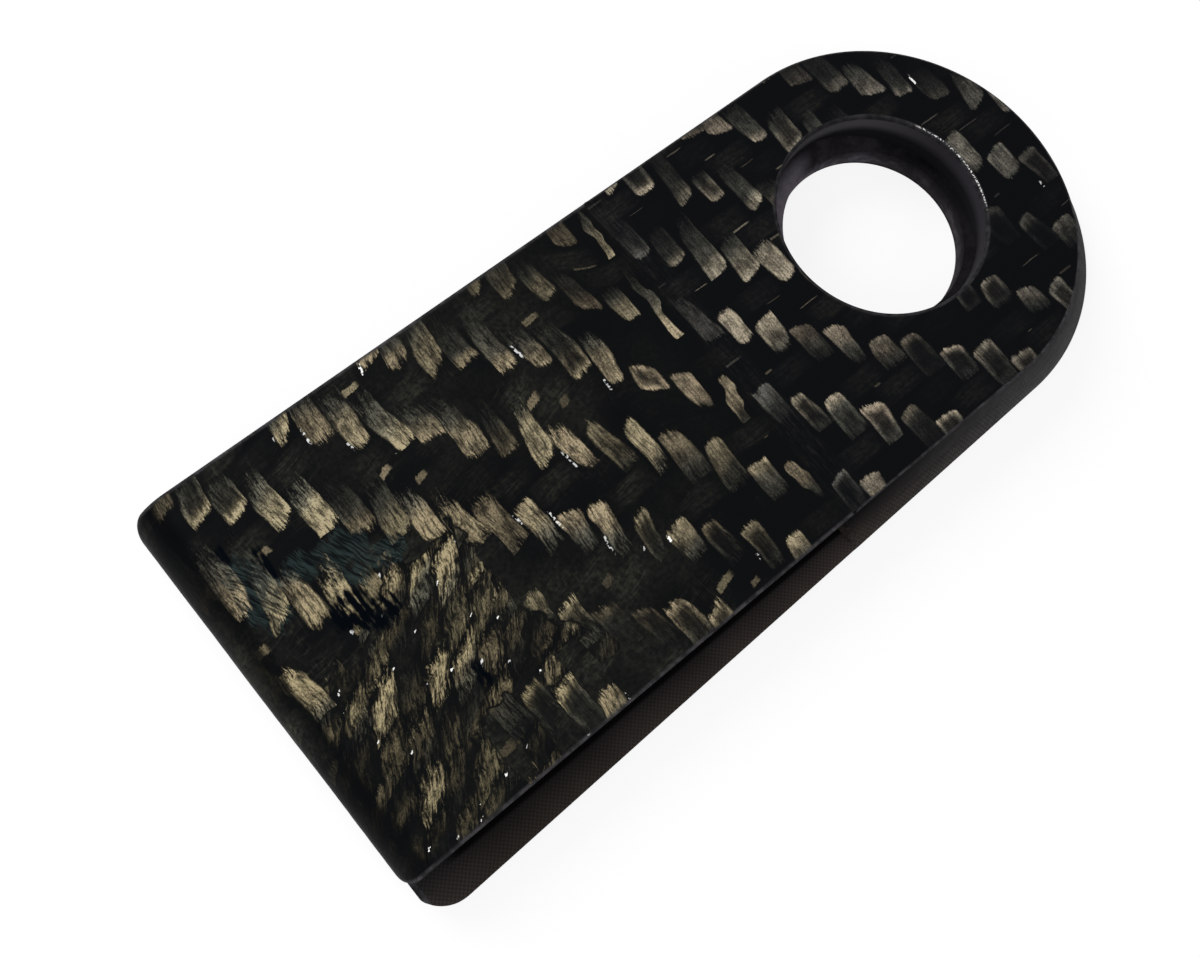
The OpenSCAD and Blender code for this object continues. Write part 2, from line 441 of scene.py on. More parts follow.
class Finish:
    """A procedural material under construction. Each call adds nodes and gives back their output."""

    def __init__(self, name):
        self.material = bpy.data.materials.new(name)
        self.material.use_nodes = True
        self.tree = self.material.node_tree
        self.shader = self.tree.nodes["Principled BSDF"]

    def node(self, kind, **settings):
        """A new node with these settings."""
        made = self.tree.nodes.new(kind)
        for key, value in settings.items():
            setattr(made, key, value)
        return made

    def put(self, value, socket):
        """Links an output to a socket, or sets a constant on it."""
        if isinstance(value, bpy.types.NodeSocket):
            self.tree.links.new(value, socket)
        else:
            socket.default_value = value

    def place(self):
        """Object coordinates."""
        return self.node("ShaderNodeTexCoord").outputs["Object"]

    def uv_map(self, name):
        """Coordinates in one of the surface's own UV maps."""
        return self.node("ShaderNodeUVMap", uv_map=name).outputs[0]

    def attribute(self, name):
        """The three values of one of the surface's own attributes."""
        return self.split(self.node("ShaderNodeAttribute", attribute_name=name).outputs["Vector"])

    def math(self, operation, *values):
        """One operation on one or two values."""
        made = self.node("ShaderNodeMath", operation=operation)
        for value, socket in zip(values, made.inputs):
            self.put(value, socket)
        return made.outputs[0]

    def add(self, *values):
        """Sum of all values."""
        total = values[0]
        for value in values[1:]:
            total = self.math("ADD", total, value)
        return total

    def times(self, *values):
        """Product of all values."""
        total = values[0]
        for value in values[1:]:
            total = self.math("MULTIPLY", total, value)
        return total

    def less(self, first, second):
        """The first value less the second one."""
        return self.math("SUBTRACT", first, second)

    def distance(self, x, y):
        """Root of the sum of the squares of x and y."""
        return self.math("SQRT", self.add(self.times(x, x), self.times(y, y)))

    def ramp(self, value, low, high, start=0.0, end=1.0):
        """start below low, end above high and an S-curve between them; low may be the larger one."""
        made = self.node("ShaderNodeMapRange", interpolation_type="SMOOTHSTEP")
        for item, socket in zip((value, low, high, start, end), made.inputs):
            self.put(item, socket)
        return made.outputs[0]

    def vector(self, x, y, z=0.0):
        """Three values as one vector."""
        made = self.node("ShaderNodeCombineXYZ")
        for value, socket in zip((x, y, z), made.inputs):
            self.put(value, socket)
        return made.outputs[0]

    def split(self, vector):
        """The three values of a vector."""
        made = self.node("ShaderNodeSeparateXYZ")
        self.put(vector, made.inputs[0])
        return made.outputs

    def noise(self, vector, scale=1.0, detail=2.0, roughness=0.5):
        """Smooth noise round 0.5."""
        made = self.node("ShaderNodeTexNoise", noise_dimensions="3D")
        self.put(vector, made.inputs["Vector"])
        made.inputs["Scale"].default_value = scale
        made.inputs["Detail"].default_value = detail
        made.inputs["Roughness"].default_value = roughness
        return made.outputs["Fac"]

    def draw(self, vector):
        """Three random numbers that are the same all over a cell."""
        made = self.node("ShaderNodeTexWhiteNoise", noise_dimensions="3D")
        self.put(vector, made.inputs["Vector"])
        return self.split(made.outputs["Color"])

    def blend(self, share, first, second):
        """The first colour at share 0, the second one at share 1."""
        made = self.node("ShaderNodeMix", data_type="RGBA")
        self.put(share, made.inputs[0])
        self.put(first, made.inputs[6])
        self.put(second, made.inputs[7])
        return made.outputs[2]

    def bump(self, height):
        """Fine relief."""
        made = self.node("ShaderNodeBump")
        self.put(height, made.inputs["Height"])
        made.inputs["Distance"].default_value = BUMP_DEPTH
        made.inputs["Strength"].default_value = BUMP_STRENGTH
        self.tree.links.new(made.outputs[0], self.shader.inputs["Normal"])

    def done(self, colour, roughness):
        """The finished material."""
        self.put(colour, self.shader.inputs["Base Color"])
        self.put(roughness, self.shader.inputs["Roughness"])
        self.shader.inputs["Specular IOR Level"].default_value = SPECULAR
        return self.material


def srgb(red, green, blue):
    """A colour as it looks on a screen, from 0 to 255, as the linear light that shaders use."""
    parts = np.array([red, green, blue]) / 255
    linear = np.where(parts <= 0.04045, parts / 12.92, ((parts + 0.055) / 1.055) ** 2.4)
    return (*linear.tolist(), 1.0)


# Cloth under clear resin

# Cloth colours. The haze grey is painted dim light between the patches, and the next four colours, brown,
# olive, grey and dim, paint the light that the tows across the strap reflect. The two sheen colours paint a
# bluish sheen, and the glint white paints highlights.
HAZE_GREY = srgb(66, 66, 57)
BEND_BLACK = srgb(4, 5, 6)
REFLECTION_BROWN = srgb(150, 129, 112)
REFLECTION_OLIVE = srgb(146, 134, 97)
REFLECTION_GREY = srgb(136, 133, 125)
REFLECTION_DIM = srgb(128, 132, 122)
SHEEN_DARK = srgb(10, 14, 16)
SHEEN_LIGHT = srgb(40, 51, 50)
POOL_BLACK = srgb(3, 6, 10)
GLINT_WHITE = srgb(244, 245, 242)


def read_cloth(f):
    """State of the cloth at each place: how uneven, askew and dull it lies, the dark pools in its resin and
    the painted bluish sheen over it, and its cut edges. Pools and sheen have ragged edges that run along
    the tows."""
    cloth = SimpleNamespace()
    cloth.place = f.place()
    cloth.x, cloth.y, cloth.z = f.split(cloth.place)
    cloth.unrest, cloth.askew, cloth.dull = f.attribute("cloth")
    pool, sheen, cloth.cut = f.attribute("stain_and_sheen")
    cloth.ragged = f.less(f.noise(cloth.place, 900.0, 3.0), 0.5)
    along_tows = f.vector(f.times(cloth.x, 2600.0), f.times(cloth.y, 500.0), 1.0)
    strand = f.less(f.noise(along_tows, 1.0, 3.0), 0.5)
    uneven = f.add(f.times(strand, 3.0), f.times(cloth.ragged, 1.2))
    cloth.pool = f.ramp(f.add(pool, f.times(uneven, f.ramp(pool, 0.0, 0.25))), 0.15, 0.95)
    cloth.sheen = f.ramp(f.add(sheen, f.times(uneven, f.ramp(sheen, 0.0, 0.25))), 0.25, 0.8)
    cloth.at_eye = f.ramp(cloth.x, *GREYER_X)
    return cloth


def lay_cloth(f, cloth):
    """Coordinates in the cloth, counted in tows. Where it was pulled askew its own coordinates take over,
    with a dark seam between that jumps from tow to tow. The tows wander, most where the cloth is uneven. Of
    the two tows by the crease, the one behind it is narrow and wavy and the one ahead of it is dim."""
    straight_map = f.uv_map("weave")
    pulled_map = f.uv_map("pulled")
    u_straight, v_straight, _ = f.split(straight_map)
    tow_straight = f.math("FLOOR", u_straight)
    bout_straight = f.math("FLOOR", f.times(f.add(v_straight, tow_straight), 1 / TWILL))
    jut = f.less(f.draw(f.vector(tow_straight, bout_straight, 6.0))[0], 0.5)
    between = f.times(f.ramp(cloth.askew, 0.0, 0.15), f.ramp(cloth.askew, 1.0, 0.85))
    inside = f.add(cloth.askew, f.times(f.add(f.times(cloth.ragged, 0.4), jut), between))
    cloth.pulled = f.math("GREATER_THAN", inside, 0.5)
    cloth.straight = f.less(1.0, cloth.pulled)
    cloth.seam = f.ramp(f.math("ABSOLUTE", f.less(inside, 0.5)), 0.0, 0.06)
    u, v, _ = f.split(f.blend(cloth.pulled, straight_map, pulled_map))
    wobble = f.ramp(cloth.unrest, 0.0, 1.0, 0.14, 0.5)
    cloth.u = f.add(u, f.times(f.less(f.noise(f.vector(u, v, 3.1), 0.9, 3.0), 0.5), wobble))
    cloth.v = f.add(v, f.times(f.less(f.noise(f.vector(u, v, 8.7), 0.9, 3.0), 0.5), wobble))
    cloth.wavy = f.times(f.ramp(f.math("ABSOLUTE", f.add(u, 1.5)), 0.75, 0.45), cloth.straight)
    cloth.dim = f.times(f.ramp(f.math("ABSOLUTE", f.add(u, 0.5)), 0.75, 0.35), cloth.straight)


def find_patch(f, cloth):
    """Which of the tows across the strap, which of its turns on top, and how far along that turn. In the
    pulled cloth a turn comes twice as often. Each patch has nine chances of its own, filaments along it,
    specks, and a comb of filaments that frays its ends."""
    patch = SimpleNamespace()
    patch.tow = f.math("FLOOR", cloth.u)
    climb = f.add(cloth.v, patch.tow)
    period = f.less(TWILL, f.times(cloth.pulled, TWILL / 2))
    patch.bout = f.math("FLOOR", f.math("DIVIDE", climb, period))
    patch.on_top = f.less(climb, f.times(patch.bout, period))
    patch.chance_a, patch.chance_b, patch.chance_c = f.draw(f.vector(patch.tow, patch.bout, 1.0))
    patch.chance_d, patch.chance_e, patch.chance_f = f.draw(f.vector(patch.tow, patch.bout, 2.0))
    patch.chance_g, patch.chance_h, patch.chance_i = f.draw(f.vector(patch.tow, patch.bout, 3.0))
    hair_v = f.times(cloth.v, f.ramp(cloth.unrest, 0.0, 0.45, 1.0, 1.7))
    hair_at = f.vector(f.times(cloth.u, 11.0), hair_v, f.times(patch.chance_f, 9.0))
    patch.hair = f.noise(hair_at, 1.0, 4.0, 0.65)
    patch.speck = f.noise(f.vector(f.times(cloth.u, 22.0), f.times(cloth.v, 11.0), 4.0), 1.0, 2.0, 0.6)
    comb_depth = f.add(f.ramp(cloth.unrest, 0.0, 0.45, 3.2, 4.2), f.times(cloth.pulled, 3.8))
    patch.comb = f.times(f.less(patch.hair, 0.5), comb_depth)
    return patch


def outline_patch(f, cloth, patch):
    """Outline of a patch two crossings long. part runs along it and side across it, and both are 1 on the
    outline. Length, width, slant, lean and taper are drawn by chance. The bright end of a patch is towards
    the middle of the strap, or either end in the pulled cloth, and the other end trails off."""
    line_sway = f.less(f.noise(f.vector(cloth.v, patch.tow, 9.0), 0.9, 1.0), 0.5)
    off_line = f.less(f.math("FRACT", cloth.u), 0.5)
    patch.off_line = f.add(off_line, f.times(line_sway, cloth.wavy, 0.8))

    # Which end is bright: 1 the left one, -1 the right one
    to_middle = f.math("MAXIMUM", f.math("MINIMUM", f.times(cloth.y, -1 / ONE_END_Y), 1.0), -1.0)
    either = f.ramp(patch.chance_i, 0.2, 0.8, -0.9, 0.9)
    patch.bright = f.add(f.times(to_middle, cloth.straight), f.times(cloth.pulled, either))
    patch.bias = f.math("ABSOLUTE", patch.bright)

    # Along the patch
    patch.at = f.less(f.less(patch.on_top, 1.0), f.ramp(patch.chance_a, 0.0, 1.0, -0.15, 0.15))
    half_length = f.add(f.ramp(patch.chance_b, 0.0, 1.0, 0.56, 0.88),
                        f.times(cloth.unrest, cloth.straight, 0.12), f.times(cloth.wavy, 0.3))
    half_length = f.times(half_length, f.ramp(cloth.y, *LONGER_Y, 0.88, 1.0))
    trailing = f.times(f.math("LESS_THAN", f.times(patch.at, patch.bright), 0.0), patch.bias)
    trail = f.times(trailing, f.ramp(patch.chance_d, 0.1, 1.0, 0.3, 1.0))
    slant = f.times(patch.off_line, f.ramp(patch.chance_h, 0.0, 1.0, -0.35, 0.35))
    patch.part = f.math("DIVIDE", f.add(patch.at, slant), f.times(half_length, f.add(1.0, trail)))

    # Across it
    thin = f.ramp(f.noise(f.vector(cloth.v, patch.tow, 4.0), 0.8, 2.0), 0.3, 0.7, 0.4, 0.72)
    taper = f.times(patch.part, f.ramp(patch.chance_i, 0.0, 1.0, -0.2, 0.2))
    half_width = f.add(f.ramp(patch.chance_c, 0.0, 0.7, 0.4, 0.53),
                       f.ramp(cloth.x, *WIDER_X, -0.04, 0.03))
    half_width = f.times(half_width, f.less(1.0, f.times(cloth.wavy, thin)),
                         f.less(1.0, f.times(cloth.pulled, 0.15)), f.add(1.0, taper))
    lean = f.add(f.times(patch.at, f.ramp(patch.chance_g, 0.0, 1.0, -0.12, 0.12)),
                 f.ramp(patch.chance_h, 0.0, 1.0, -0.05, 0.05))
    patch.side = f.math("DIVIDE", f.math("ABSOLUTE", f.add(patch.off_line, lean)), half_width)
    patch.end = f.add(f.math("ABSOLUTE", patch.part), f.times(f.math("POWER", patch.side, 4.0), 0.2))

    # Frayed ends and crisp sides, looser in the pulled cloth
    grit = f.less(patch.speck, 0.5)
    loose = f.add(f.ramp(cloth.unrest, 0.0, 1.0, 0.12, 0.28), f.times(cloth.pulled, 0.25))
    soft_end = f.times(loose, f.add(1.0, f.times(trailing, f.ramp(cloth.unrest, 0.0, 0.4, 1.0, 2.2))))
    ends = f.add(f.math("DIVIDE", f.less(1.0, patch.end), soft_end), patch.comb, f.times(grit, 2.2))
    patch.ends = f.ramp(ends, f.less(-0.4, f.times(cloth.pulled, 0.6)),
                        f.add(1.0, f.times(cloth.pulled, 0.8)))
    sides = f.add(patch.side, f.times(grit, 0.5), f.times(f.less(patch.hair, 0.5), cloth.pulled, -1.8))
    patch.sides = f.ramp(sides, f.add(1.06, f.times(cloth.pulled, 0.25)),
                         f.less(0.86, f.times(cloth.pulled, 0.5)))


def light_patch(f, cloth, patch):
    """How much a patch shines: it fades from its bright end, some patches have only a pale rim, and
    filaments streak it. It is less at the eye, in dull cloth, in pools and on the seam. In the pulled cloth
    every second row of patches is dimmer."""
    lit_part = f.times(patch.part, f.math("SIGN", patch.bright))
    fade = f.times(patch.bias, f.ramp(patch.chance_d, 0.0, 1.0, 0.3, 0.82))
    lit = f.less(1.0, f.times(fade, f.ramp(lit_part, 1.0, 0.05)))
    patch.lit = f.times(lit, f.less(1.0, f.times(patch.bias, f.ramp(lit_part, 0.2, -1.0), 0.8)))
    rim_limit = f.ramp(cloth.y, *FULLER_Y, 0.2, 0.8)
    hollow = f.times(f.ramp(f.less(patch.chance_e, rim_limit), 0.0, 0.2), cloth.straight, 0.85)
    hollow = f.times(hollow, f.ramp(f.math("MAXIMUM", patch.end, patch.side), 0.9, 0.4))
    mottle = f.noise(f.vector(f.times(cloth.u, 2.4), f.times(cloth.v, 2.0), 5.0), 1.0, 2.0)
    furrow = f.ramp(cloth.unrest, 0.0, 0.45, 0.5, 0.2)
    streak = f.times(f.ramp(patch.hair, 0.36, 0.61, furrow, 1.28),
                     f.ramp(patch.speck, 0.3, 0.66, 0.35, 1.3), f.ramp(mottle, 0.35, 0.62, 0.5, 1.1))
    shine = f.times(f.ramp(patch.chance_f, 0.0, 0.9, 0.3, 1.15),
                    f.less(1.0, cloth.dull), f.less(1.0, cloth.pool), cloth.seam)
    shine = f.times(shine, f.less(1.0, f.times(cloth.at_eye, 0.35)), f.less(1.0, f.times(cloth.dim, 0.6)))
    shine = f.times(shine, f.ramp(cloth.x, *BRIGHTER_X, 0.95, 1.35))
    second_row = f.times(f.math("FRACT", f.times(patch.bout, 0.5)), 2.0)
    tuft = f.times(f.ramp(patch.chance_e, 0.1, 0.7, 0.2, 1.0), f.less(1.0, f.times(second_row, 0.66)))
    patch.shine = f.times(shine, f.add(cloth.straight, f.times(cloth.pulled, tuft, 1.12)))
    return f.times(patch.ends, patch.sides, patch.lit, f.less(1.0, hollow), streak, patch.shine)


def hidden_dash(f, cloth, patch):
    """A short dash of painted reflection where a hidden tow shows between two of the tows along the strap.
    """
    half = f.times(f.ramp(patch.chance_g, 0.4, 1.0, 0.04, 0.16), f.ramp(cloth.unrest, 0.0, 0.4, 0.3, 1.0))
    off_gap = f.less(f.less(patch.on_top, 3.0), f.ramp(patch.chance_a, 0.0, 1.0, -0.1, 0.1))
    off_gap = f.math("DIVIDE", f.math("ABSOLUTE", off_gap), half)
    dash = f.ramp(f.add(f.times(f.less(1.0, off_gap), 3.0), patch.comb), -0.2, 0.7)
    sides = f.ramp(f.add(patch.side, f.less(patch.speck, 0.5)), 0.9, 0.55)
    shown = f.math("GREATER_THAN", patch.chance_g, f.ramp(cloth.unrest, 0.0, 0.4, 0.45, 0.78))
    grit = f.ramp(patch.speck, 0.35, 0.6, 0.3, 1.0)
    return f.times(dash, sides, shown, grit, patch.shine, f.ramp(cloth.unrest, 0.0, 0.4, 0.4, 0.5))


def ground_haze(f, cloth, patch):
    """Dim light on what lies between the patches: on the tows along the strap where they lie on top, with
    grain along them, and clouds of loose fibres where the cloth is uneven."""
    row = f.math("FLOOR", cloth.v)
    along_row = f.add(cloth.u, row)
    stretch = f.math("FLOOR", f.times(along_row, 1 / TWILL))
    from_crown = f.math("ABSOLUTE", f.less(f.less(along_row, f.times(stretch, TWILL)), 3.0))
    from_line = f.math("ABSOLUTE", f.less(f.math("FRACT", cloth.v), 0.5))
    chance = f.draw(f.vector(row, stretch, 4.0))[0]
    grain = f.noise(f.vector(f.times(cloth.u, 0.8), f.times(cloth.v, 14.0), 2.0), 1.0, 3.0, 0.6)
    weft = f.times(f.ramp(from_crown, 1.25, 0.1), f.ramp(from_line, 0.5, 0.28), f.ramp(chance, 0.2, 1.0))
    weft = f.times(weft, f.ramp(grain, 0.35, 0.65, 0.3, 1.0), f.ramp(cloth.unrest, 0.2, 0.7, 0.13, 0.26))
    weft = f.times(weft, f.less(1.0, f.times(cloth.pulled, 0.75)))

    cloud = f.ramp(f.noise(cloth.place, 330.0, 3.0), 0.45, 0.7)
    wide_cloud = f.ramp(f.noise(cloth.place, 120.0, 2.0), 0.42, 0.75, 0.0, 0.5)
    fibres = f.add(f.times(f.ramp(grain, 0.45, 0.7), 0.5),
                   f.times(f.ramp(patch.hair, 0.48, 0.7), patch.sides, 0.5))
    haze = f.add(f.times(fibres, cloud), wide_cloud)
    haze = f.times(haze, cloth.unrest, f.less(0.42, f.times(cloth.pulled, 0.34)))
    veil = f.times(f.ramp(patch.hair, 0.4, 0.7), f.ramp(cloud, 0.0, 1.0, 0.4, 1.0), cloth.dim, 0.16)
    # Speckle in the painted haze of light
    dust = f.noise(cloth.place, 3200.0, 3.0)
    return f.times(f.add(haze, weft, veil), f.ramp(dust, 0.3, 0.7, 0.4, 1.6))


def side_glint(f, cloth, patch):
    """Painted highlights: white glints on the side of a tow here and there, more of them where the cloth is
    uneven.
    """
    half = f.times(f.ramp(patch.chance_h, 0.0, 1.0, 0.1, 0.6), f.ramp(cloth.pulled, 0.0, 1.0, 1.0, 0.35))
    from_glint = f.math("ABSOLUTE", f.less(patch.at, f.ramp(patch.chance_b, 0.0, 1.0, 0.8, -0.8)))
    from_side = f.math("ABSOLUTE", f.add(patch.off_line, 0.46))
    shown = f.math("GREATER_THAN", patch.chance_i, f.ramp(cloth.unrest, 0.0, 0.5, 0.94, 0.45))
    glint = f.times(f.ramp(from_glint, half, 0.0), f.ramp(from_side, 0.08, 0.03), shown,
                    f.less(1.0, cloth.dull))
    glitter = f.ramp(f.noise(cloth.place, 3600.0, 2.0), 0.44, 0.62)
    glint = f.ramp(f.times(glint, glitter), 0.12, 0.45)
    return f.times(glint, f.ramp(patch.chance_c, 0.0, 1.0, 0.5, 1.0), f.less(1.0, cloth.pool))


def cloth_edge(f, cloth, rubbed):
    """Colour of a cover's cut edge: sanded grey, with painted shade that darkens it in the hole but painted
    light at the left of the lower one, and a painted white highlight on the far side of the upper hole's
    rim."""
    from_axis = f.distance(cloth.x, cloth.y)
    by_hole = f.ramp(from_axis, HOLE_R + 0.6 * MM, HOLE_R + 0.4 * MM)
    sanded = f.blend(f.ramp(rubbed, 0.3, 0.75), srgb(34, 33, 35), srgb(64, 62, 64))
    # Painted shade: the edge is darker in the hole
    sanded = f.blend(f.times(by_hole, 0.5), sanded, srgb(20, 20, 22))
    # Painted light on the lower cover's edge at the left of the lower hole
    lit_low_left = f.times(f.ramp(f.less(cloth.y, cloth.x), 5.0 * MM, 8.0 * MM),
                       f.math("LESS_THAN", cloth.z, PLY_T))
    sanded = f.blend(f.times(lit_low_left, by_hole), sanded, srgb(124, 118, 126))
    # Painted highlight: a dotted white glint along the far side of the upper hole's rim
    from_rim = f.math("ABSOLUTE", f.less(from_axis, HOLE_R + 0.15 * MM))
    rim_glint = f.times(f.ramp(from_rim, 0.08 * MM, 0.04 * MM),
                    f.ramp(cloth.x, 7.0 * MM, 8.4 * MM), f.ramp(cloth.y, 4.8 * MM, 3.4 * MM),
                    f.ramp(f.noise(cloth.place, 7000.0, 1.0), 0.46, 0.6))
    return f.blend(rim_glint, sanded, srgb(206, 206, 204))


def twill_finish(name, black, pale):
    """Carbon twill under clear resin, on the weave's own coordinates, with the light it reflects painted
    into its colour. The tows across the strap catch the light where they lie on top: a painted pale patch
    two crossings long, with crisp sides, frayed ends and filament streaks, of its own length and
    brightness. The tows along the strap stay nearly black under a painted dim haze of light, and between
    two of them a hidden tow shows as a short painted dash of reflection. Painted white glints, dark pools
    and stripes of painted bluish sheen lie over the cloth, and a black line runs along the bend."""
    f = Finish(name)
    cloth = read_cloth(f)
    lay_cloth(f, cloth)
    patch = find_patch(f, cloth)
    outline_patch(f, cloth, patch)
    glow = light_patch(f, cloth, patch)

    # Painted reflections of the threads: warmer by chance and where the cloth is uneven, greyer at the eye
    # and where they fade
    warm = f.blend(f.times(patch.chance_h, 0.5), pale, REFLECTION_BROWN)
    warm = f.blend(f.times(cloth.unrest, 0.6), warm, REFLECTION_OLIVE)
    warm = f.blend(f.math("MAXIMUM", f.times(cloth.at_eye, 0.7), cloth.dim), warm, REFLECTION_GREY)
    thread_reflection = f.blend(f.ramp(patch.lit, 0.65, 0.15, 0.0, 0.7), warm, REFLECTION_DIM)

    # Ground between them
    bend_line = f.times(f.ramp(cloth.x, TAIL_X + 0.4 * MM, TAIL_X + 1.8 * MM),
                        f.ramp(cloth.x, TAIL_X + 3.0 * MM, TAIL_X + 2.0 * MM), 0.75)
    diagonal = f.add(cloth.u, f.times(cloth.v, 0.5))
    stripes = f.vector(f.times(diagonal, 12.0), f.less(cloth.v, f.times(cloth.u, 0.5)), 6.0)
    stripes = f.ramp(f.noise(stripes, 1.0, 2.0), 0.38, 0.62)
    ground = f.blend(ground_haze(f, cloth, patch), black, HAZE_GREY)
    ground = f.blend(bend_line, ground, BEND_BLACK)
    ground = f.blend(f.times(cloth.sheen, 0.7), ground, f.blend(stripes, SHEEN_DARK, SHEEN_LIGHT))
    ground = f.blend(cloth.pool, ground, POOL_BLACK)

    glow = f.times(glow, f.less(1.0, f.times(cloth.sheen, f.less(1.0, stripes), 0.85)))
    colour = f.blend(f.math("MINIMUM", glow, 1.0), ground, thread_reflection)
    colour = f.blend(f.math("MINIMUM", hidden_dash(f, cloth, patch), 1.0), colour, warm)
    colour = f.blend(side_glint(f, cloth, patch), colour, GLINT_WHITE)
    rubbed = f.noise(cloth.place, 1800.0, 4.0)
    colour = f.blend(cloth.cut, colour, cloth_edge(f, cloth, rubbed))
    f.bump(f.add(patch.hair, f.times(cloth.cut, rubbed)))
    return f.done(colour, roughness=0.4)


# Cut edges and fabric imprint

def cut_finish(name, dark, light, recess):
    """Sanded cut edge: grey dust over black plies, with faint lines between the plies and fine scratches
    along the edge. In the holes it has the colours of their walls, with painted light and shade, and on the
    open ledge by the bend the imprint of fine cloth under a painted shadow."""
    f = Finish(name)
    place = f.place()
    x, y, z = f.split(place)
    ply_line = f.math("FRACT", f.times(z, 1 / PLY_T))
    ply_line = f.ramp(f.math("ABSOLUTE", f.less(ply_line, 0.5)), 0.40, 0.5)
    dust = f.noise(place, 1500.0, 5.0, 0.65)
    scratch = f.noise(f.vector(f.times(x, 300.0), f.times(y, 300.0), f.times(z, 9000.0)), 1.0, 3.0)
    tone = f.add(f.times(dust, 0.55), f.times(scratch, 0.45), f.times(ply_line, -0.12))
    colour = f.blend(f.ramp(tone, 0.2, 0.75), dark, light)
    in_hole = f.ramp(f.distance(x, y), HOLE_R + 1.6 * MM, HOLE_R + 1.2 * MM)
    colour = f.blend(in_hole, colour, hole_wall_colour(f, place, dust, recess))
    on_ledge = f.times(f.ramp(y, RIGHT_Y + 0.1 * MM, RIGHT_Y - 0.2 * MM),
                       f.ramp(x, LEDGE_BACK_X, LEDGE_BACK_X - 1 * MM))
    colour = f.blend(on_ledge, colour, ledge_colour(f, place))
    f.bump(f.add(dust, scratch))
    return f.done(colour, roughness=0.62)


def hole_wall_colour(f, place, dust, recess):
    """Colours of the holes' walls, with painted light and shade. The lower one is mottled with torn fibres,
    painted lighter towards the underside and darker up under the upper leaf, and has a painted lit crescent
    by its edge at the left. The upper one is painted darker towards its foot and lighter upwards. Both are
    painted lighter towards the left, where the light falls on them."""
    x, y, z = f.split(place)
    torn = f.noise(f.vector(f.times(x, 600.0), f.times(y, 600.0), f.times(z, 900.0)), 1.0, 5.0, 0.7)
    # Painted shade: the mottle fades up towards the upper leaf, whose shade falls there
    torn = f.times(f.ramp(torn, 0.4, 0.7, 0.3, 1.0), f.ramp(z, LEAF_T, 0.0, 0.15, 1.0))
    from_low_axis = f.distance(f.less(x, float(LOWER_HOLE[0])), f.less(y, float(LOWER_HOLE[1])))
    # Painted light on a crescent by the lower hole's edge at the left, fading into the shade under the
    # upper leaf
    crescent = f.times(f.ramp(from_low_axis, LOWER_HOLE_R + 2.0 * MM, LOWER_HOLE_R + 0.4 * MM),
                       f.ramp(f.less(y, x), 6.2 * MM, 9.6 * MM), f.ramp(dust, 0.2, 0.8, 0.6, 1.0))
    # Painted light: the lower wall lighter towards the left
    lit_low_left = f.ramp(f.less(y, f.times(x, 0.6)), -4 * MM, 8 * MM)
    low_lit_colour = f.blend(lit_low_left, srgb(76, 72, 77), srgb(120, 114, 124))
    low_wall = f.blend(f.math("MAXIMUM", torn, crescent), srgb(17, 16, 18), low_lit_colour)
    # Painted light: the upper wall lighter towards the left, from the shaded colour given as recess
    lit_high_left = f.ramp(f.less(y, f.times(x, 0.3)), -2 * MM, 7 * MM)
    high_lit_colour = f.blend(lit_high_left, recess, srgb(64, 62, 66))
    # Painted shade: the upper wall darker towards its foot, above the slot
    high_wall = f.blend(f.ramp(z, HEIGHT - LEAF_T, HEIGHT - 0.5 * LEAF_T), srgb(26, 25, 27), high_lit_colour)
    return f.blend(f.math("GREATER_THAN", z, HEIGHT / 2), low_wall, high_wall)


def peel_imprint(f, x, y):
    """Plain weave of fine cloth, between -1 and 1: a sine wave along times a sine wave across."""
    yarn = math.tau / PEEL_PITCH
    return f.times(f.math("SINE", f.times(x, yarn)), f.math("SINE", f.times(y, yarn)))


def ledge_colour(f, place):
    """Imprint of fine cloth on the open ledge: a plain weave, almost black under the upper leaf's edge
    where a shadow is painted, and lighter and browner from there to the right as the painted shade eases,
    which it also does towards the ledge's two ends."""
    x, y, _ = f.split(place)
    cloud = f.noise(place, 260.0, 4.0)
    width = f.add(1.75 * MM, f.times(f.less(CREASE_X, x), 0.032))
    out = f.math("DIVIDE", f.less(RIGHT_Y - 0.2 * MM, y), width)
    # Painted shade that eases towards both ends of the ledge
    lighter = f.math("MAXIMUM", f.ramp(x, LEDGE_BACK_X, CREASE_X),
                     f.ramp(x, LEDGE_BACK_X + 1 * MM, LEDGE_BACK_X - 2 * MM))
    # Painted shade: darker near the upper leaf's edge, lighter and browner farther out
    near = f.blend(lighter, srgb(25, 25, 25), srgb(36, 35, 35))
    far = f.blend(lighter, srgb(56, 50, 47), srgb(66, 59, 56))
    tone = f.blend(f.math("MINIMUM", f.math("MAXIMUM", out, 0.0), 1.0), near, far)
    knit = f.add(f.times(peel_imprint(f, x, y), 0.3), f.times(f.less(cloud, 0.5), 0.8), 0.5)
    colour = f.blend(f.ramp(knit, 0.1, 0.9, 0.55, 0.0), tone, srgb(12, 12, 12))
    # Painted shadow of the upper leaf's edge: nearly black in a narrow band, fading out near the bend
    edge_shadow = f.times(f.ramp(y, RIGHT_Y - 0.68 * MM, RIGHT_Y - 0.32 * MM),
                  f.ramp(x, LEDGE_BACK_X - 2.5 * MM, LEDGE_BACK_X - 0.5 * MM))
    return f.blend(f.times(edge_shadow, 0.9), colour, srgb(4, 4, 5))


def peel_finish(name):
    """Fabric imprint left by peel ply on the slot's lining, in matt resin, with the ledge's painted shadow
    and shade.
    """
    f = Finish(name)
    return f.done(ledge_colour(f, f.place()), roughness=0.7)


